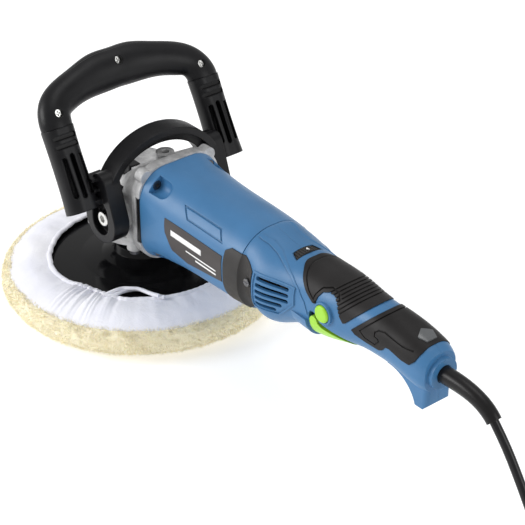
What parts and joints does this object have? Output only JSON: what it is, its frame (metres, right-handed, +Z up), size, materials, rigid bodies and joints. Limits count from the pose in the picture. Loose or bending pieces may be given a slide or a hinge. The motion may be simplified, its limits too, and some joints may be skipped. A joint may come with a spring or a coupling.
{
  "type": "rotary polisher",
  "caption": "Corded rotary polisher: blue motor body with a trigger handle, tilting black loop handle, cast gear head, and a wool bonnet on a round backing plate.",
  "frame": {"origin": "centre of the bonnet's working face, on the spindle's axis", "axes": "+Z up along the spindle, away from the work; +X back along the motor axis to the trigger handle and cord; +Y to the operator's right"},
  "size_m": [0.585, 0.2484, 0.1804],
  "materials": {
    "cast_aluminium": "cast, satin",
    "blue_plastic": "satin moulded",
    "black_nylon": "matte moulded, glass filled",
    "soft_rubber": "soft touch, ribbed",
    "dark_plastic": "fine textured",
    "lime_plastic": "semi gloss",
    "plate_plastic": "polished",
    "zinc_steel": "zinc plated",
    "bearing_steel": "ground and hardened",
    "gear_steel": "machined",
    "bronze": "sintered bronze",
    "laminated_iron": "stacked laminations",
    "copper": "enamelled winding",
    "carbon": "pressed carbon",
    "white_cotton": "gathered woven cotton",
    "cream_wool": "deep wool pile",
    "pad_foam": "closed cell foam",
    "cord_rubber": "smooth, slightly glossy",
    "badge_grey": "metallic lacquer",
    "label_brown": "plain satin plate",
    "board_green": "printed circuit board"
  },
  "bodies": {
    "machine_body": {"gear_housing": "cast_aluminium", "bearing_cover": "cast_aluminium", "dust_ring": "black_nylon", "lower_bearing": "bearing_steel", "upper_bush": "bronze", "lock_spring": "zinc_steel", "bearing_plate": "cast_aluminium", "front_bearing": "bearing_steel", "housing_screws": "zinc_steel", "motor_housing": "blue_plastic", "label_plates": "label_brown", "brush_cover_left": "dark_plastic", "brush_cover_right": "dark_plastic", "brush_cover_screws": "zinc_steel", "fan_baffle": "black_nylon", "stator_core": "laminated_iron", "field_windings": "copper", "rear_bearing_bracket": "dark_plastic", "rear_bearing": "bearing_steel", "brush_holders": "bronze", "carbon_brushes": "carbon", "handle_shell_left": "blue_plastic", "handle_shell_right": "blue_plastic", "shell_screws": "zinc_steel", "front_grip": "soft_rubber", "rear_grip": "soft_rubber", "badge": "badge_grey", "switch_body": "dark_plastic", "speed_board": "board_green", "cord_clamp": "dark_plastic", "pivot_bolts": "zinc_steel", "strain_relief": "soft_rubber", "cord_lead": "cord_rubber", "cord_coil": "cord_rubber", "cord_tail": "cord_rubber", "plug_body": "cord_rubber", "plug_pins": "bearing_steel"},
    "polishing_head": {"spindle": "bearing_steel", "bevel_gear": "gear_steel", "plate_insert": "zinc_steel", "backing_plate": "plate_plastic", "backing_foam": "pad_foam", "bonnet_skirt": "white_cotton", "drawstring": "white_cotton", "wool_pile": "cream_wool"},
    "rotor": {"rotor_shaft": "bearing_steel", "pinion": "gear_steel", "cooling_fan": "black_nylon", "armature_core": "laminated_iron", "armature_windings": "copper", "commutator": "copper"},
    "loop_handle": {"loop_bracket": "black_nylon", "grip_shell_rear": "black_nylon", "grip_shell_front": "black_nylon", "grip_screws": "zinc_steel"},
    "trigger_lever": {"trigger": "lime_plastic"},
    "trigger_lock": {"lock_on_button": "lime_plastic"},
    "dial": {"speed_dial": "dark_plastic"},
    "spindle_lock": {"lock_button": "black_nylon"}
  },
  "joints": [
    {"name": "spindle_spin", "type": "hinge", "parent": "machine_body", "child": "polishing_head", "pos_m": [0, 0, 0.05], "axis": [0, 0, 1], "continuous": true},
    {"name": "rotor_spin", "type": "hinge", "parent": "machine_body", "child": "rotor", "pos_m": [0.1, 0, 0.088], "axis": [1, 0, 0], "continuous": true},
    {"name": "loop_tilt", "type": "hinge", "parent": "machine_body", "child": "loop_handle", "pos_m": [0.023, 0, 0.0845], "axis": [0, 1, 0], "range_deg": [-20, 5]},
    {"name": "trigger_press", "type": "hinge", "parent": "machine_body", "child": "trigger_lever", "pos_m": [0.24, 0, 0.08], "axis": [0, 1, 0], "range_deg": [0, 4.5], "stiffness_Nm_per_rad": 1.5, "springref_deg": -5.73},
    {"name": "lock_on_press", "type": "slide", "parent": "machine_body", "child": "trigger_lock", "axis": [0, 1, 0], "range_m": [0, 0.003], "stiffness_N_per_m": 400, "springref_m": -0.005},
    {"name": "speed_turn", "type": "hinge", "parent": "machine_body", "child": "dial", "pos_m": [0.1803, 0, 0.0953], "axis": [1, 0, 0], "range_deg": [-135, 135]},
    {"name": "spindle_lock_press", "type": "slide", "parent": "machine_body", "child": "spindle_lock", "axis": [0, 0, -1], "range_m": [0, 0.0032], "stiffness_N_per_m": 500, "springref_m": -0.004, "deforming": ["lock_spring"]}
  ],
  "couplings": [
    {"joint": "rotor_spin", "follows": "spindle_spin", "ratio": 5}
  ]
}
